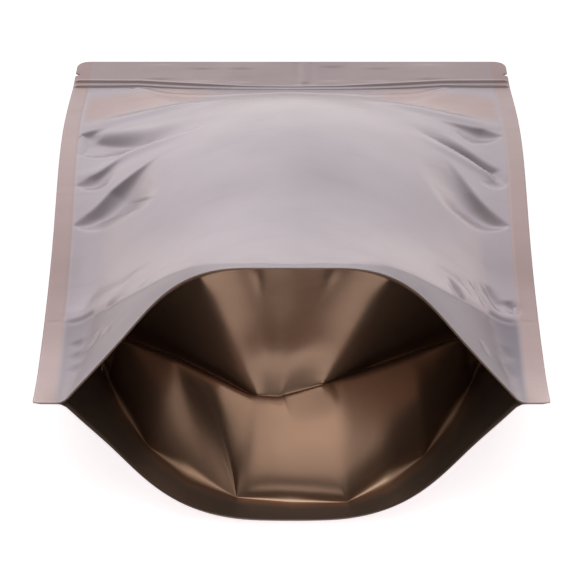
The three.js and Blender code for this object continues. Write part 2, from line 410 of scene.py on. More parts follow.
def fold_relief(side, u, s):
    """The pinched folds and the soft ridges between them, in millimetres."""
    height = np.zeros(u.shape)
    for fold in LEFT_VALLEYS if side < 0 else RIGHT_VALLEYS:
        height += valley(u, s, **fold)
    for fold in LEFT_STEPS if side < 0 else RIGHT_STEPS:
        height += step_down(u, s, **fold)
    for path, rise, width, peak in BOTH_RIDGES + (LEFT_RIDGES if side < 0 else RIGHT_RIDGES):
        height += ridge(u, s, path, rise, width, peak)
    return height


def front_relief(side, u, s):
    """How far the front panel stands off its smooth shape, in millimetres."""
    relief = bpy.context.scene.pouch_relief
    height = zip_relief(u, s) * relief.zip_height / MM
    free = ease((u - FOLD_START_U) / FOLD_START_RUN)
    height += fold_relief(side, u, s) * relief.fold_depth * free
    for path, depth, width in LEFT_DIMPLES if side < 0 else RIGHT_DIMPLES:
        height += ridge(u, s, path, -depth * relief.dimple_depth, width)
    away, _, along = along_path(u, s, SEAL_LINE)
    height -= SEAL_LINE_DEPTH * ease(along / 0.04) * bell(away, SEAL_LINE_WIDTH)
    pressed = ease((s - GROOVE_START) / GROOVE_RUN) * ease((GROOVE_END - s) / GROOVE_RUN)
    height -= relief.seal_groove / MM * pressed * bell(u - GROOVE_U, GROOVE_WIDTH)
    for across, start, end, depth, width in HEADER_DENTS:
        if across * side >= 0:
            centre = HALF / MM - abs(across)
            length = ease((s - start) / DENT_RUN) * ease((end - s) / DENT_RUN)
            height -= depth * bell(u - centre, width) * length
    return height


def panel_relief(across, u, s):
    """The front panel's relief in metres, for points left (below 0) or right of the middle."""
    left = front_relief(-1, u / MM, s / MM)
    right = front_relief(1, u / MM, s / MM)
    return np.where(across < 0, left, right) * MM


# ---------------------------------------------------------------- outline of the flat film

PANEL_SPACING = 1.3 * MM
BACK_SPACING = 2.2 * MM
FINE_FROM = ZIP - 12 * MM  # from here up to the top edge the rows lie closer together
FINE_ROWS = 76
EDGE_START = HALF - 10.5 * MM  # finer columns on both sides of the side seals' inner edges
EDGE_END = HALF - 6.5 * MM
EDGE_COLUMNS = 12
SEAL_COLUMNS = 8
MIDDLE_ROUNDS = 40
MIDDLE_REACH = 14 * MM

# Where warm reflections and a glint are painted into the film's colour, in millimetres of film as the
# folds are
WARM_REFLECTION_PATH = ((6, 290), (30, 297), (56, 303))
ZIP_GLINT_PATH = ((46, 318), (75, 314), (112, 310))


def trim(u, s):
    """Rounds the corners and cuts the tear notches into the side seals."""
    cut = bpy.context.scene.pouch_cut
    over = np.clip(s - (POUCH_LENGTH - cut.corner_radius), 0, cut.corner_radius)
    corner = cut.corner_radius - np.sqrt(np.maximum(cut.corner_radius**2 - over**2, 0))
    under = np.clip(cut.foot_radius - s, 0, cut.foot_radius)
    corner += cut.foot_radius - np.sqrt(np.maximum(cut.foot_radius**2 - under**2, 0))
    beside = np.abs(s - (POUCH_LENGTH - cut.notch_drop)) / (cut.notch_width / 2)
    edge = np.maximum(corner, cut.notch_depth * np.clip(1 - beside, 0, 1))
    return np.where(u < SIDE_SEAL, edge + u * (SIDE_SEAL - edge) / SIDE_SEAL, u)


def film_rows(spacing):
    """Rows from the bottom edge to the top edge, closer together from just below the zip up."""
    body = np.linspace(0, FINE_FROM, round(ZIP / spacing))
    header = np.linspace(FINE_FROM, POUCH_LENGTH, FINE_ROWS)
    return np.concatenate([body[:-1], header])


def film_grid(spacing):
    """Points across and along the flat film, closer together at the side seals' inner edges."""
    edge = np.linspace(EDGE_START, EDGE_END, EDGE_COLUMNS)
    middle = np.linspace(-EDGE_START, EDGE_START, round(2 * EDGE_START / spacing))
    seal = np.linspace(EDGE_END, HALF, SEAL_COLUMNS)[1:]
    across = np.concatenate([-seal[::-1], -edge[::-1], middle[1:-1], edge, seal])
    return np.meshgrid(across, film_rows(spacing), indexing="ij")


def seal_tone_and_painted_glints(u, s):
    """1 where two films are sealed together, which shows their bronze more, and where warm reflections
    by the zip's corners and a glint under the zip are painted; 0 on free film.
    Positions are in millimetres from the side edge and from the bottom edge."""
    side = 0.85 * (1 - ease((u - 7.6) / 1.2))
    header = 0.45 * ease((s - 322) / 3)
    # a painted warm reflection on the film by the zip's corner
    away, _, _ = along_path(u, s, WARM_REFLECTION_PATH)
    corner = (1 - ease((away - 8) / 16)) * ease((u - 8) / 4)
    # a painted peach glint along the film under the zip
    away, _, _ = along_path(u, s, ZIP_GLINT_PATH)
    zip_glint = 0.9 * (1 - ease((away - 1) / 3))
    return np.maximum.reduce([side, header, corner, zip_glint])


def lip_painted_shade(across, u, s):
    """1 on the bottom lip's three fused films, where shade is painted into the colour, most of all on
    the right.
    """
    away, turn, _ = along_path(u, s, SEAL_LINE)
    below = ease(0.5 - turn * away / 6) * ease((u - 7) / 3)
    return below * lerp(0.65, 1, ease(across / 60 + 0.5)) * lerp(1, 0.6, ease((u - 70) / 30))


def smooth_middle(grid, w):
    """Takes out the faint ridge where the two mirrored halves of a panel meet."""
    free = ease(1.4 - np.abs(w) / MIDDLE_REACH)[1:-1]
    for _ in range(MIDDLE_ROUNDS):
        mean = (grid[:-2, :, 2] + grid[2:, :, 2]) / 2
        grid[1:-1, :, 2] = lerp(grid[1:-1, :, 2], mean, 0.5 * free)


def panel_points(table, spacing):
    """A panel's points: w from the middle of the flat film, u from its trimmed side edge and s from
    its bottom edge, and where they are on the smooth puffed panel."""
    w, s = film_grid(spacing)
    u = trim(HALF - np.abs(w), s)
    grid = mirrored(PANELS.at(table, u, s), w)
    smooth_middle(grid, w)
    return w, u, s, grid


def front_panel(film):
    """The front panel with its folds and dimples, its zip ribs and its header."""
    w, u, s, grid = panel_points(PANELS.front, PANEL_SPACING)
    grid += normals(grid, 1) * panel_relief(w, u, s)[..., None]
    # the sealed tone also carries painted warm reflections and a glint by the zip; the lip's tone is
    # painted shade
    masks = {"sealed": seal_tone_and_painted_glints(u / MM, s / MM), "lip": lip_painted_shade(w / MM, u / MM, s / MM)}
    piece = film_object("front_panel", grid, np.stack([w, s], axis=-1), masks, True)
    thicken(piece, film.panel_thickness)
    return piece


def back_panel(film):
    """The plain back panel, which the pouch lies on."""
    w, u, s, grid = panel_points(PANELS.back, BACK_SPACING)
    # the sealed tone also carries painted warm reflections and a glint by the zip
    masks = {"sealed": seal_tone_and_painted_glints(u / MM, s / MM)}
    piece = film_object("back_panel", grid, np.stack([w, s], axis=-1), masks, False)
    thicken(piece, film.panel_thickness)
    return piece


# ---------------------------------------------------------------- the gusset

LIP_DEPTH = 0.31 * MM  # the gusset film's visible face lies this far inside a panel's outer face
LIP_SLACK = 0.4 * MM  # more room under the front lip, so that no dimple of it shows the gusset
SLACK_RISE = 4 * MM  # from the bottom edge to where that room is full
SLACK_START = 9 * MM  # and from the side edge to where it starts
SLACK_RUN = 5 * MM
CORNER_Y = -168.1  # where the bottom corners are, from which the crest's places are measured
FOLD_START = 0.05  # the gusset opens between these two places across it
FOLD_END = 0.95
FOLD_RUN = 0.08  # and is open this far in from them

# Seal lines as (place across the gusset, side, u, s), from the left side seal to the right one
FRONT_SEAL = (
    (0.00, -1, 0.8, 83),
    (0.05, -1, 9, 83),
    (0.15, -1, 24, 82),
    (0.30, -1, 50, 64),
    (0.41, -1, 75, 31.6),
    (0.43, -1, 78, 27.3),
    (0.455, -1, 80, 24),
    (0.53, 1, 115, 14),
    (0.605, 1, 77, 28),
    (0.625, 1, 75, 31),
    (0.645, 1, 73, 34.2),
    (0.74, 1, 48, 65),
    (0.85, 1, 24, 82),
    (0.95, 1, 9, 83),
    (1.00, 1, 0.8, 83),
)
BACK_SEAL = (
    (0.00, -1, 0.8, 83),
    (0.05, -1, 9, 83),
    (0.12, -1, 34, 86),
    (0.235, -1, 57.7, 39),
    (0.31, -1, 88, 17.5),
    (0.325, -1, 93.7, 13.8),
    (0.45, -1, 94, 13.7),
    (0.57, 1, 94, 10.9),
    (0.60, 1, 93.5, 11),
    (0.77, 1, 62.8, 34.4),
    (0.79, 1, 62.2, 35),
    (0.89, 1, 34.6, 86),
    (0.95, 1, 9, 83),
    (1.00, 1, 0.8, 83),
)
# The crest of the lower half, as (place, x, y from the bottom corners, z)
CREST = (
    (0.05, -88, 73, 31),
    (0.15, -67.6, 63.7, 34),
    (0.235, -51, 54.5, 34),
    (0.25, -47, 51.5, 34.5),
    (0.31, -44.5, 50, 34.5),
    (0.42, -27.8, 38.4, 34),
    (0.455, -16.4, 34.4, 30),
    (0.49, -8.6, 33.1, 30),
    (0.53, -5.2, 32.9, 30),
    (0.555, -2.5, 33.6, 30.5),
    (0.59, 11.3, 36.9, 33),
    (0.62, 17.5, 38.5, 34),
    (0.65, 24.8, 42, 34),
    (0.77, 46.5, 53.3, 34),
    (0.80, 50, 55.5, 34),
    (0.86, 65.4, 63.7, 34),
    (0.95, 88, 73, 31),
)
# Where the crest is bent forward and up, as (place, forward, up)
CREST_BEND = (
    (0.545, 0, 0),
    (0.57, 1.6, 1.0),
    (0.59, 2.6, 1.8),
    (0.60, 1.8, 1.2),
    (0.615, 0, 0),
)
# Where the upper half dips behind that crest, as (place, back, down)
DIP = (
    (0.05, 0, 0),
    (0.15, 10, 8),
    (0.42, 8, 6),
    (0.47, 1.2, 0.8),
    (0.53, 1.2, 0.8),
    (0.575, 1.5, 1.2),
    (0.61, 1.6, 1.2),
    (0.65, 6, 5),
    (0.68, 9, 7),
    (0.86, 10, 8),
    (0.95, 0, 0),
)
# How far the lower half stands out from straight lines between seal and crest, as (place, near the
# seal, halfway, near the crest): little where it is pulled tight from a corner of the seal
SWELL = (
    (0.05, 0, 0, 0),
    (0.13, 2, 3, 2),
    (0.17, 3, 4.4, 2.6),
    (0.205, 2.6, 4.2, 2.4),
    (0.245, 1.4, 2.2, 1.6),
    (0.295, -0.9, -1.6, -0.3),
    (0.43, -0.8, -1.1, 0.2),
    (0.465, 3.2, 3.0, 1.6),
    (0.50, 4.6, 4.0, 1.9),
    (0.555, 4.4, 4.0, 1.9),
    (0.595, 3.6, 3.6, 1.8),
    (0.69, 3.8, 4.3, 2.4),
    (0.78, 1.4, 3.5, 2.2),
    (0.85, 2.8, 3.4, 2.2),
    (0.90, 2.0, 3.0, 1.8),
    (0.95, 0, 0, 0),
)
# How far the upper half stands out halfway down, as (place, out)
UPPER_SWELL = (
    (0.05, 0),
    (0.20, -3),
    (0.40, -1),
    (0.44, 0.5),
    (0.62, 0.5),
    (0.66, -1),
    (0.80, -3),
    (0.95, 0),
)
# How deep the upper half is hollow between its two ridges, as (place, depth)
HOLLOW = (
    (0.455, 0),
    (0.49, 7.4),
    (0.57, 7.4),
    (0.605, 0),
)
# How the hollow grows from the front lip (0) to the dip (1)
HOLLOW_DOWN = ((0, 0.3, 0.77, 1), (0, 0.58, 1.15, 0))
# Short creases that hang from the front lip, as (place, depth, share of the way down)
LIP_CREASES = (
    (0.502, 1.1, 0.3),
    (0.562, 1.0, 0.25),
)
CREASE_WIDTH = 0.0035
# Size of the rounding between the lower half and the back seal, as (place, size)
SEAL_ROUNDING = (
    (0.09, 0.3),
    (0.175, 8),
    (0.235, 0.25),
    (0.275, 5.5),
    (0.322, 0.25),
    (0.45, 0.25),
    (0.51, 2.6),
    (0.57, 0.25),
    (0.60, 0.25),
    (0.69, 5.5),
    (0.772, 0.25),
    (0.788, 0.25),
    (0.84, 8),
    (0.90, 0.8),
    (0.95, 0.25),
)

SWELL_PLACES = (0.2, 0.5, 0.8)  # from seal to crest, where SWELL gives the lower half's heights
PAINTED_HIGHLIGHT_SIZE = 8 * MM  # size of the seal's rounding at which the painted highlight along it is at full strength
PAINTED_HIGHLIGHT_ROWS = 3.6

# The gusset's mesh, with more columns in the middle: shares of the columns and their places
COLUMN_PLACES = ((0, 0.36, 0.64, 1), (0, 0.455, 0.605, 1))
GUSSET_COLUMNS = 380
BAND_ROWS = 10
PLEATED_ROWS = 44
ROUNDING_ROWS = 12
UPPER_ROWS = 34
CREST_ROWS = 8
LOWER_ROWS = 56
# How many times each form is smoothed
CREASE_ROUNDS = 4
RIDGE_ROUNDS = 110
HOLLOW_ROUNDS = 14
LOWER_ROUNDS = 22
SWELL_ROUNDS = 36


def read_off(table, place, rounds=0):
    """Columns of a table, read at each place across the gusset, with their corners rounded off."""
    table = np.array(table, dtype=float)
    columns = [np.interp(place, table[:, 0], table[:, k]) for k in range(1, table.shape[1])]
    for column in columns:
        for _ in range(rounds):
            column[1:-1] = blurred(column)
    return columns


def sealed_band(seal, table, upward, place, share, relief=None):
    """The gusset film's face where it lies sealed to a panel: share 0 on the seal's inner line and
    1 on the pouch's bottom edge."""
    knots = np.array(seal, dtype=float)
    # the side changes between two knots, so places are read as distances right of the middle
    across = np.interp(place, knots[:, 0], knots[:, 1] * (HALF / MM - knots[:, 2])) * MM
    s = np.interp(place, knots[:, 0], knots[:, 3]) * MM * (1 - share)
    u = trim(np.broadcast_to(HALF - np.abs(across), s.shape), s)
    grid = mirrored(PANELS.at(table, u, s), across)
    step = 1 * MM
    wide = PANELS.at(table, u + step, s) - PANELS.at(table, u - step, s)
    long = PANELS.at(table, u, s + step) - PANELS.at(table, u, s - step)
    inward = turned(np.cross(mirrored(wide, across), mirrored(long, across)), upward)
    depth = LIP_DEPTH
    if relief:
        grid -= inward * relief(np.broadcast_to(across, s.shape), u, s)[..., None]
        slack = LIP_SLACK * ease(s / SLACK_RISE) * ease((u - SLACK_START) / SLACK_RUN)
        depth = LIP_DEPTH + slack[..., None]
    return grid + inward * depth


def gusset_crest(place, top, bottom):
    """The lower half's crest. In the side seals it lies flat between the two panels."""
    x, y, z = read_off(CREST, place)
    open_crest = np.stack([x, y + CORNER_Y, z], axis=-1) * MM
    flat = (top + bottom) / 2
    opened = ease((place - FOLD_START) / FOLD_RUN) * ease((FOLD_END - place) / FOLD_RUN)
    return lerp(flat, open_crest, opened[..., None])


def round_across(grid, freedom, rounds):
    """Rounds the edges that run from row to row, by as much as each row's freedom lets it."""
    freedom = np.broadcast_to(freedom, grid.shape[:2])[1:-1, :, None]
    for _ in range(rounds):
        grid[1:-1] = lerp(grid[1:-1], blurred(grid), freedom)
    return grid


def upper_half(place, top, dip):
    """From front seal to dip. Its columns fan out from the seal's corners as rounded ridges, and
    the middle between the two ridges is hollow."""
    down = np.linspace(0, 1, UPPER_ROWS + 1)[None, 1:]
    upper = lerp(top, dip, down[..., None])
    upper[..., 1] -= read_off(UPPER_SWELL, place)[0] * MM * np.sin(math.pi * down)
    hollow = np.interp(down[0], *HOLLOW_DOWN)
    for _ in range(HOLLOW_ROUNDS):
        hollow[1:-1] = blurred(hollow)
    upper[..., 1] += read_off(HOLLOW, place)[0] * MM * hollow
    upper = round_across(upper, ease(down / 0.3) * ease((1 - down) / 0.12), RIDGE_ROUNDS)
    for middle, depth, reach in LIP_CREASES:
        crease = bell(place - middle, CREASE_WIDTH) * ease(1 - down / reach) * ease(down / 0.03)
        upper[..., 1] += depth * MM * crease
    return upper


def lower_half(place, crest, bend, seal, start):
    """From the crest, with its bend, down to a share `start` short of the back seal, standing out
    from straight lines."""
    q = start + (1 - start) * np.linspace(1, 0, LOWER_ROWS + 1)[None, 1:] ** 1.3
    outward = turned(np.cross(crest - seal, np.gradient(lerp(seal, crest, 0.5), axis=0)), 1)
    # a smooth curve through the three heights of SWELL and the two ends
    out = 0
    for k, height in enumerate(read_off(SWELL, place, SWELL_ROUNDS)):
        a = SWELL_PLACES[k]
        b, c = SWELL_PLACES[:k] + SWELL_PLACES[k + 1:]
        out += height * MM * q * (1 - q) * (q - b) * (q - c) / (a * (1 - a) * (a - b) * (a - c))
    lower = lerp(seal, crest, q[..., None]) + outward * out[..., None]
    lower = round_across(lower, ease((q - 0.04) / 0.3) * ease((1 - q) / 0.1), LOWER_ROUNDS)
    return lower + bend * (np.clip((q - 0.75) / 0.25, 0, 1) ** 1.3)[..., None]


def rounding(start, corner, end):
    """Rows that round a corner off between two rows, without either of the two."""
    t = np.linspace(0, 1, ROUNDING_ROWS + 2)[None, 1:-1, None]
    return start * (1 - t) ** 2 + corner * 2 * t * (1 - t) + end * t**2


def soften(grid, rounds):
    """Rounds the creases of a grid and leaves its first and last rows where they are."""
    for _ in range(rounds):
        mean = grid.copy()
        mean[1:-1] = blurred(grid)
        grid[:, 1:-1] = blurred(mean.swapaxes(0, 1)).swapaxes(0, 1)
    return grid


def flat_gusset(place, grid):
    """The gusset film's places when it lies flat: across the pouch, and along from the front lip."""
    run = np.zeros(grid.shape[:2])
    run[:, 1:] = np.cumsum(np.linalg.norm(np.diff(grid, axis=1), axis=-1), axis=1)
    return np.stack([np.broadcast_to((place - 0.5) * POUCH_WIDTH, run.shape), run], axis=-1)


def gusset_masks(shape, size):
    """Where a pale highlight is painted along the rounding at the film's seal, and where the film is
    sealed to the back lip, whose colour is painted shade."""
    painted_highlight = np.zeros(shape)
    sealed = np.zeros(shape)
    middle = BAND_ROWS + ROUNDING_ROWS // 2
    strength = np.sqrt(np.clip(size[:, 0] / PAINTED_HIGHLIGHT_SIZE, 0, 1))
    # a pale highlight painted along the middle rows of the seal's rounding
    for k in range(-ROUNDING_ROWS, ROUNDING_ROWS + 1):
        painted_highlight[:, -middle + k] = strength * bell(k, PAINTED_HIGHLIGHT_ROWS)
    # the back lip, where a dark painted shade is given to the film
    sealed[:, -BAND_ROWS:] = ease(np.linspace(0, 3, BAND_ROWS))
    return {"painted_highlight": painted_highlight, "sealed": sealed}


def gusset_film(film):
    """The gusset's film in columns, each from the front lip's edge over the crest to the back lip's
    edge."""
    place = np.interp(np.linspace(0, 1, GUSSET_COLUMNS), *COLUMN_PLACES)[:, None]
    # the seals, and the size of the rounding that starts where the back seal ends
    pleated = np.linspace(1, 0, PLEATED_ROWS)[None, :]
    front_band = sealed_band(FRONT_SEAL, PANELS.front, -1, place, pleated, panel_relief)
    top = front_band[:, -1:]
    seal = sealed_band(BACK_SEAL, PANELS.back, 1, place, 0 * place)
    size = read_off(SEAL_ROUNDING, place)[0] * MM
    first = size / (read_off(BACK_SEAL, place)[2] * MM)
    rows = np.linspace(0, 1, BAND_ROWS)[None, :]
    back_band = sealed_band(BACK_SEAL, PANELS.back, 1, place, lerp(first, 1, rows))
    # the crest of the lower half, its bend, and the dip behind it
    crest = gusset_crest(place, top, seal)
    forward, up = read_off(CREST_BEND, place)
    back, down = read_off(DIP, place)
    bent = crest + np.stack([0 * up, -forward, up], axis=-1) * MM
    dip = bent + np.stack([0 * back, back, -down], axis=-1) * MM
    # the free film between the seals
    upper = upper_half(place, top, dip)
    rising = lerp(dip, bent, np.linspace(0, 1, CREST_ROWS + 1)[None, 1:, None])
    start = np.clip(size / np.linalg.norm(crest - seal, axis=-1), 0, 0.4)
    lower = lower_half(place, crest, bent - crest, seal, start)
    corner = rounding(lower[:, -1:], seal, back_band[:, :1])
    free = [top, upper, rising, lower, corner, back_band[:, :1]]
    free = soften(np.concatenate(free, axis=1), CREASE_ROUNDS)
    grid = np.concatenate([front_band[:, :-1], free, back_band[:, 1:]], axis=1)
    masks = gusset_masks(grid.shape[:2], size)
    piece = film_object("gusset_film", grid, flat_gusset(place, grid), masks, True)
    thicken(piece, film.gusset_thickness)
    return piece


# ---------------------------------------------------------------- materials

# Patterns in the film's finish, as (scale, detail, stretch along the film's two directions)
CLOUDS = (22, 3, (1, 1, 1))
GRAIN = (2600, 2, (1, 1, 1))
RUBBED = (90, 4, (0.25, 3, 1))
SOFT_WAVES = (70, 2, (1, 0.5, 1))
CLOUD_TONE = (0.12, 0.10, 0.10, 1)
DULL_METALLIC = 0.35  # where a pale seal highlight is painted, and on the back lip, where shade is painted


class Graph:
    """Makes and links the nodes of one material or world."""

    def __init__(self, owner):
        owner.use_nodes = True
        self.nodes = owner.node_tree.nodes
        self.links = owner.node_tree.links

    def fill(self, socket, value):
        """Links another node's output to a socket, or sets the socket to a value."""
        if isinstance(value, bpy.types.NodeSocket):
            self.links.new(value, socket)
        else:
            socket.default_value = value

    def add(self, kind, output, inputs, **settings):
        """Makes a node with these settings and inputs, and gives back one of its outputs."""
        node = self.nodes.new(kind)
        for name, value in settings.items():
            setattr(node, name, value)
        for name, value in inputs.items():
            self.fill(node.inputs[name], value)
        return node.outputs[output]

    def combine(self, operation, a, b):
        """The sum or the product of two values."""
        return self.add("ShaderNodeMath", "Value", {0: a, 1: b}, operation=operation)

    def blend(self, factor, a, b):
        """Colour a where the factor is 0, and b where it is 1."""
        inputs = {"Factor": factor, "A": a, "B": b}
        return self.add("ShaderNodeMix", "Result", inputs, data_type="RGBA")

    def ramp(self, value, start, end, low, high, smooth=False):
        """Goes from low, where the value is at start, to high, where it is at end."""
        inputs = {"Value": value, "From Min": start, "From Max": end, "To Min": low, "To Max": high}
        kind = "SMOOTHSTEP" if smooth else "LINEAR"
        return self.add("ShaderNodeMapRange", "Result", inputs, interpolation_type=kind)

    def noise(self, place, scale, detail, stretch):
        """Soft random spots, drawn out along either direction."""
        place = self.add("ShaderNodeMapping", "Vector", {"Vector": place, "Scale": stretch})
        return self.add("ShaderNodeTexNoise", "Fac", {"Vector": place, "Scale": scale, "Detail": detail})

    def bump(self, strength, distance, height, **below):
        """Relief from a pattern's height, over the relief below it."""
        inputs = {"Strength": strength, "Distance": distance, "Height": height, **below}
        return self.add("ShaderNodeBump", "Normal", inputs)


def film_material(name, film, tones, dull, metallic, coat):
    """Matt metallised film. `tones` gives the colour where a mask is 1, the first one without a
    mask, and `dull` names the masks that make it less metallic. Over them lie slow changes of tone
    and gloss, a fine grain and faint rubbed streaks."""
    material = bpy.data.materials.new(name)
    graph = Graph(material)
    shader = graph.nodes["Principled BSDF"].inputs
    flat = graph.add("ShaderNodeUVMap", "UV", {}, uv_map="Film")
    masks = {label: graph.add("ShaderNodeAttribute", "Fac", {}, attribute_name=label)
             for label in tones if label != "film"}
    clouds = graph.noise(flat, *CLOUDS)
    grain = graph.noise(flat, *GRAIN)
    rubbed = graph.noise(flat, *RUBBED)

    tone = (*tones["film"], 1)
    for label, mask in masks.items():
        tone = graph.blend(mask, tone, (*tones[label], 1))
    tone = graph.blend(graph.ramp(clouds, 0.35, 0.65, 0.0, 0.09), tone, CLOUD_TONE)
    graph.fill(shader["Base Color"], tone)

    graph.fill(shader["Metallic"], metallic)
    if dull:
        both = graph.combine("ADD", *[masks[label] for label in dull])
        graph.fill(shader["Metallic"], graph.ramp(both, 0, 1, metallic, DULL_METALLIC))

    gloss = graph.ramp(clouds, 0.3, 0.7, film.roughness - 0.02, film.roughness + 0.02)
    gloss = graph.combine("ADD", gloss, graph.ramp(grain, 0.3, 0.7, -0.03, 0.03))
    gloss = graph.combine("ADD", gloss, graph.ramp(rubbed, 0.55, 0.75, 0.0, 0.06))
    graph.fill(shader["Roughness"], gloss)
    graph.fill(shader["Coat Weight"], coat)
    graph.fill(shader["Coat Roughness"], 0.4)

    waves = graph.bump(0.5, 0.3 * MM, graph.noise(flat, *SOFT_WAVES))
    graph.fill(shader["Normal"], graph.bump(0.35, 0.02 * MM, grain, Normal=waves))
    return material


def outer_material(film):
    """The panels' film, one material for both of them."""
    # the sealed tone carries painted warm reflections and a glint by the zip, and the lip tone is
    # painted shade
    tones = {"film": film.colour, "sealed": film.seal_and_glint_colour, "lip": film.lip_shade_colour}
    made = bpy.data.materials.get("outer film")
    return made or film_material("outer film", film, tones, (), 0.9, 0.2)


def gusset_material(film):
    """The gusset's film, darker and browner than the panels."""
    # the sealed tone is the back lip's painted shade, and the highlight tone is a painted highlight
    # along the seal
    tones = {"film": film.gusset_colour, "sealed": film.back_lip_shade_colour,
             "painted_highlight": film.painted_highlight_colour}
    return film_material("gusset film", film, tones, ("painted_highlight", "sealed"), 0.84, 0.15)


# ---------------------------------------------------------------- stage

# Soft light by the direction it comes from, as (axis, start, end, light at start, light at end)
BEHIND_LOW = ("Z", 0.38, 1.0, 1.18, 0.2)
BEHIND = ("Y", 0.3, 0.98, 0.1, 1.0)
LEFT_TO_RIGHT = ("X", -0.3, 0.3, 1.03, 0.88)
FRONT_HIGH = ("Z", 0.28, 0.7, 0.03, 1.0)
FRONT = ("Y", -0.12, -0.42, 0.0, 1.0)
OVERHEAD = ("Z", 0.7, 0.97, 0.03, 0.33)
LAMP_PLACE = (0, -0.34, 1.05)
LAMP_SIZE = (1.2, 0.22)
GLOW_COLOUR = (1.0, 0.985, 0.985, 1)

# The photograph's view, found from the pouch's outline
IMAGE_SIZE = 585
FOCAL_PIXELS = 1740.75
SENSOR_WIDTH = 36
CAMERA_PLACE = (0, -0.646, 0.472)
CAMERA_TILT = 37.42  # degrees below level


def lay_floor(scene, stage):
    """A plain white paper floor."""
    mesh = bpy.data.meshes.new("floor")
    reach = stage.floor_size / 2
    ring = [(-reach, -reach, 0), (reach, -reach, 0), (reach, reach, 0), (-reach, reach, 0)]
    mesh.from_pydata(ring, [], [(0, 1, 2, 3)])
    floor = bpy.data.objects.new("floor", mesh)
    scene.collection.objects.link(floor)
    white = bpy.data.materials.new("white paper")
    paper = Graph(white).nodes["Principled BSDF"].inputs
    paper["Base Color"].default_value = (*stage.floor_colour, 1)
    paper["Roughness"].default_value = 0.9
    paper["Emission Color"].default_value = GLOW_COLOUR
    paper["Emission Strength"].default_value = stage.floor_glow
    mesh.materials.append(white)


def light_room(scene, stage):
    """Soft light from low behind the pouch, from high on the camera's side and, dimmer, from above,
    with one flat lamp overhead."""
    world = bpy.data.worlds.new("studio")
    scene.world = world
    graph = Graph(world)
    direction = graph.add("ShaderNodeTexCoord", "Generated", {})
    split = graph.nodes.new("ShaderNodeSeparateXYZ")
    graph.fill(split.inputs[0], direction)

    def band(axis, start, end, low, high):
        return graph.ramp(split.outputs[axis], start, end, low, high, smooth=True)

    behind = graph.combine("MULTIPLY", band(*BEHIND_LOW), band(*BEHIND))
    behind = graph.combine("MULTIPLY", behind, band(*LEFT_TO_RIGHT))
    facing_front = band(*FRONT)
    ahead = graph.combine("MULTIPLY", band(*FRONT_HIGH), facing_front)
    total = graph.combine("ADD", graph.combine("ADD", band(*OVERHEAD), behind), ahead)
    colour = graph.blend(facing_front, (*stage.back_colour, 1), (*stage.front_colour, 1))
    background = graph.nodes["Background"].inputs
    graph.fill(background["Strength"], total)
    graph.fill(background["Color"], colour)

    light = bpy.data.lights.new("overhead strip", "AREA")
    light.shape = "RECTANGLE"
    light.size, light.size_y = LAMP_SIZE
    light.energy = stage.lamp_radiance * math.pi * light.size * light.size_y
    light.color = stage.lamp_colour
    lamp = bpy.data.objects.new("overhead strip", light)
    lamp.location = LAMP_PLACE
    scene.collection.objects.link(lamp)


def place_camera(scene):
    """Puts the camera where the photograph was taken from."""
    data = bpy.data.cameras.new("camera")
    data.sensor_width = SENSOR_WIDTH
    data.lens = SENSOR_WIDTH * FOCAL_PIXELS / IMAGE_SIZE
    data.shift_x = 1 / IMAGE_SIZE
    camera = bpy.data.objects.new("camera", data)
    camera.location = CAMERA_PLACE
    camera.rotation_euler = (math.radians(90 - CAMERA_TILT), 0, 0)
    scene.collection.objects.link(camera)
    scene.camera = camera


# ---------------------------------------------------------------- settings, operators and panel


class POUCH_PG_cut(bpy.types.PropertyGroup):
    corner_radius: FloatProperty(
        name="Corner Radius", description="Rounding of the two top corners of the flat film",
        default=6 * MM, min=0.0, max=SIDE_SEAL, unit="LENGTH")
    foot_radius: FloatProperty(
        name="Foot Radius", description="Rounding of the two bottom corners of the flat film",
        default=3 * MM, min=0.0, max=SIDE_SEAL, unit="LENGTH")
    notch_drop: FloatProperty(
        name="Notch Drop", description="Distance of the tear notches from the top edge",
        default=14 * MM, min=5 * MM, max=HEADER, unit="LENGTH")
    notch_depth: FloatProperty(
        name="Notch Depth", description="Depth of the tear notches into the side seals",
        default=2.5 * MM, min=0.0, max=5 * MM, unit="LENGTH")
    notch_width: FloatProperty(
        name="Notch Width", description="Width of the tear notches at the side edges",
        default=3 * MM, min=1 * MM, max=6 * MM, unit="LENGTH")


class POUCH_PG_relief(bpy.types.PropertyGroup):
    fold_depth: FloatProperty(
        name="Fold Depth", description="Depth of the pinched folds, as a share of the usual depth",
        default=1.0, min=0.0, max=1.5, subtype="FACTOR")
    dimple_depth: FloatProperty(
        name="Dimple Depth", description="Depth of the dimples by the seals, as a share of the usual",
        default=1.0, min=0.0, max=1.5, subtype="FACTOR")
    zip_height: FloatProperty(
        name="Zip Height", description="Height of the shut zip's lower rib under the film",
        default=0.8 * MM, min=0.0, max=1.5 * MM, unit="LENGTH")
    seal_groove: FloatProperty(
        name="Seal Groove", description="Depth of the line pressed along each side seal",
        default=0.22 * MM, min=0.0, max=0.5 * MM, unit="LENGTH")


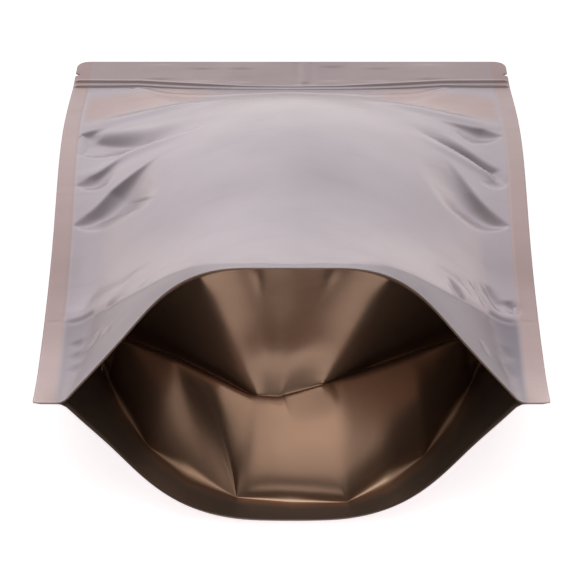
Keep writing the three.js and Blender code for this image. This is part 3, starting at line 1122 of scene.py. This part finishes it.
class POUCH_PG_film(bpy.types.PropertyGroup):
    panel_thickness: FloatProperty(
        name="Panel Thickness", description="Thickness of the front and the back panel's film",
        default=0.15 * MM, min=0.05 * MM, max=0.3 * MM, unit="LENGTH")
    gusset_thickness: FloatProperty(
        name="Gusset Thickness", description="Thickness of the gusset's film",
        default=0.14 * MM, min=0.05 * MM, max=0.3 * MM, unit="LENGTH")
    roughness: FloatProperty(
        name="Roughness", description="Roughness of the film's matt finish",
        default=0.32, min=0.05, max=1.0, subtype="FACTOR")
    colour: FloatVectorProperty(
        name="Film Colour", description="Colour of the panels where the film lies free",
        default=(0.48, 0.382, 0.39), min=0.0, max=1.0, size=3, subtype="COLOR")
    # also the colour of the painted warm reflections and glint by the zip
    seal_and_glint_colour: FloatVectorProperty(
        name="Sealed Colour", description="Colour of the panels where two films are sealed together",
        default=(0.50, 0.33, 0.292), min=0.0, max=1.0, size=3, subtype="COLOR")
    # painted shade on the front panel's bottom lip, darker on the right
    lip_shade_colour: FloatVectorProperty(
        name="Lip Colour", description="Colour of the front panel's bottom lip, sealed to the gusset",
        default=(0.25, 0.192, 0.208), min=0.0, max=1.0, size=3, subtype="COLOR")
    gusset_colour: FloatVectorProperty(
        name="Gusset Colour", description="Colour of the gusset's film where it lies free",
        default=(0.285, 0.175, 0.118), min=0.0, max=1.0, size=3, subtype="COLOR")
    # painted shade on the back lip, darker than the film under any lamp
    back_lip_shade_colour: FloatVectorProperty(
        name="Gusset Seal Colour", description="Colour of the gusset's film on the bottom lips",
        default=(0.095, 0.07, 0.055), min=0.0, max=1.0, size=3, subtype="COLOR")
    # a painted highlight along the gusset's back seal, not a colour of the film itself
    painted_highlight_colour: FloatVectorProperty(
        name="Highlight Colour", description="Colour of the gusset's film where it is stretched pale",
        default=(0.9, 0.63, 0.44), min=0.0, max=1.0, size=3, subtype="COLOR")


class POUCH_PG_stage(bpy.types.PropertyGroup):
    floor_size: FloatProperty(
        name="Floor Size", description="Side of the square floor",
        default=12.0, min=1.0, max=50.0, unit="LENGTH")
    floor_colour: FloatVectorProperty(
        name="Floor Colour", description="Colour of the paper floor",
        default=(0.93, 0.93, 0.94), min=0.0, max=1.0, size=3, subtype="COLOR")
    floor_glow: FloatProperty(
        name="Floor Glow", description="Light that the floor gives off, so that it stays white",
        default=0.6, min=0.0, max=2.0)
    back_colour: FloatVectorProperty(
        name="Back Light Colour", description="Colour of the soft light behind the pouch",
        default=(0.9, 0.965, 1.03), min=0.0, max=2.0, size=3, subtype="COLOR")
    front_colour: FloatVectorProperty(
        name="Front Light Colour", description="Colour of the soft light on the camera's side",
        default=(1.0, 0.96, 0.92), min=0.0, max=2.0, size=3, subtype="COLOR")
    lamp_radiance: FloatProperty(
        name="Lamp Radiance", description="Brightness of the lamp overhead",
        default=3.1, min=0.0, max=20.0)
    lamp_colour: FloatVectorProperty(
        name="Lamp Colour", description="Colour of the lamp overhead",
        default=(1.0, 0.95, 0.9), min=0.0, max=1.0, size=3, subtype="COLOR")


class POUCH_OT_front_panel(bpy.types.Operator):
    """Makes the puffed front panel with its folds, its zip ribs and its header"""

    bl_idname = "pouch.front_panel"
    bl_label = "Front Panel"
    bl_options = {"REGISTER", "UNDO"}

    def execute(self, context):
        film = context.scene.pouch_film
        hand_in(front_panel(film), outer_material(film))
        return {"FINISHED"}


class POUCH_OT_back_panel(bpy.types.Operator):
    """Makes the back panel, which the pouch lies on"""

    bl_idname = "pouch.back_panel"
    bl_label = "Back Panel"
    bl_options = {"REGISTER", "UNDO"}

    def execute(self, context):
        film = context.scene.pouch_film
        hand_in(back_panel(film), outer_material(film))
        return {"FINISHED"}


class POUCH_OT_gusset_film(bpy.types.Operator):
    """Makes the gusset's film between the two bottom lips, pulled open into a recess"""

    bl_idname = "pouch.gusset_film"
    bl_label = "Gusset Film"
    bl_options = {"REGISTER", "UNDO"}

    def execute(self, context):
        film = context.scene.pouch_film
        if film.panel_thickness + film.gusset_thickness > LIP_DEPTH:
            raise ValueError("the two films are thicker than the room for them inside the lips")
        hand_in(gusset_film(film), gusset_material(film))
        return {"FINISHED"}


class POUCH_OT_stage(bpy.types.Operator):
    """Lays the floor and sets up the lights and the camera"""

    bl_idname = "pouch.stage"
    bl_label = "Stage"
    bl_options = {"REGISTER", "UNDO"}

    def execute(self, context):
        scene = context.scene
        lay_floor(scene, scene.pouch_stage)
        light_room(scene, scene.pouch_stage)
        place_camera(scene)
        scene.view_settings.view_transform = "Standard"
        return {"FINISHED"}


class POUCH_PT_sidebar(bpy.types.Panel):
    """Lists the pouch's settings and the steps that make it"""

    bl_label = "Stand-up Pouch"
    bl_idname = "POUCH_PT_sidebar"
    bl_space_type = "VIEW_3D"
    bl_region_type = "UI"
    bl_category = "Pouch"

    def draw(self, context):
        scene = context.scene
        for label, settings in (("Cut", scene.pouch_cut), ("Relief", scene.pouch_relief),
                                ("Film", scene.pouch_film), ("Stage", scene.pouch_stage)):
            box = self.layout.box()
            box.label(text=label)
            for name in type(settings).__annotations__:
                box.prop(settings, name)
        for step in STEPS:
            self.layout.operator(step.bl_idname)


GROUPS = {
    "pouch_cut": POUCH_PG_cut,
    "pouch_relief": POUCH_PG_relief,
    "pouch_film": POUCH_PG_film,
    "pouch_stage": POUCH_PG_stage,
}
STEPS = (POUCH_OT_front_panel, POUCH_OT_back_panel, POUCH_OT_gusset_film, POUCH_OT_stage)
CLASSES = (*GROUPS.values(), *STEPS, POUCH_PT_sidebar)


def register():
    for cls in CLASSES:
        bpy.utils.register_class(cls)
    for name, group in GROUPS.items():
        setattr(bpy.types.Scene, name, PointerProperty(type=group))


def unregister():
    for name in GROUPS:
        delattr(bpy.types.Scene, name)
    for cls in reversed(CLASSES):
        bpy.utils.unregister_class(cls)


def main():
    register()
    bpy.ops.pouch.front_panel()
    bpy.ops.pouch.back_panel()
    bpy.ops.pouch.gusset_film()
    bpy.ops.pouch.stage()


if __name__ == "__main__":
    main()
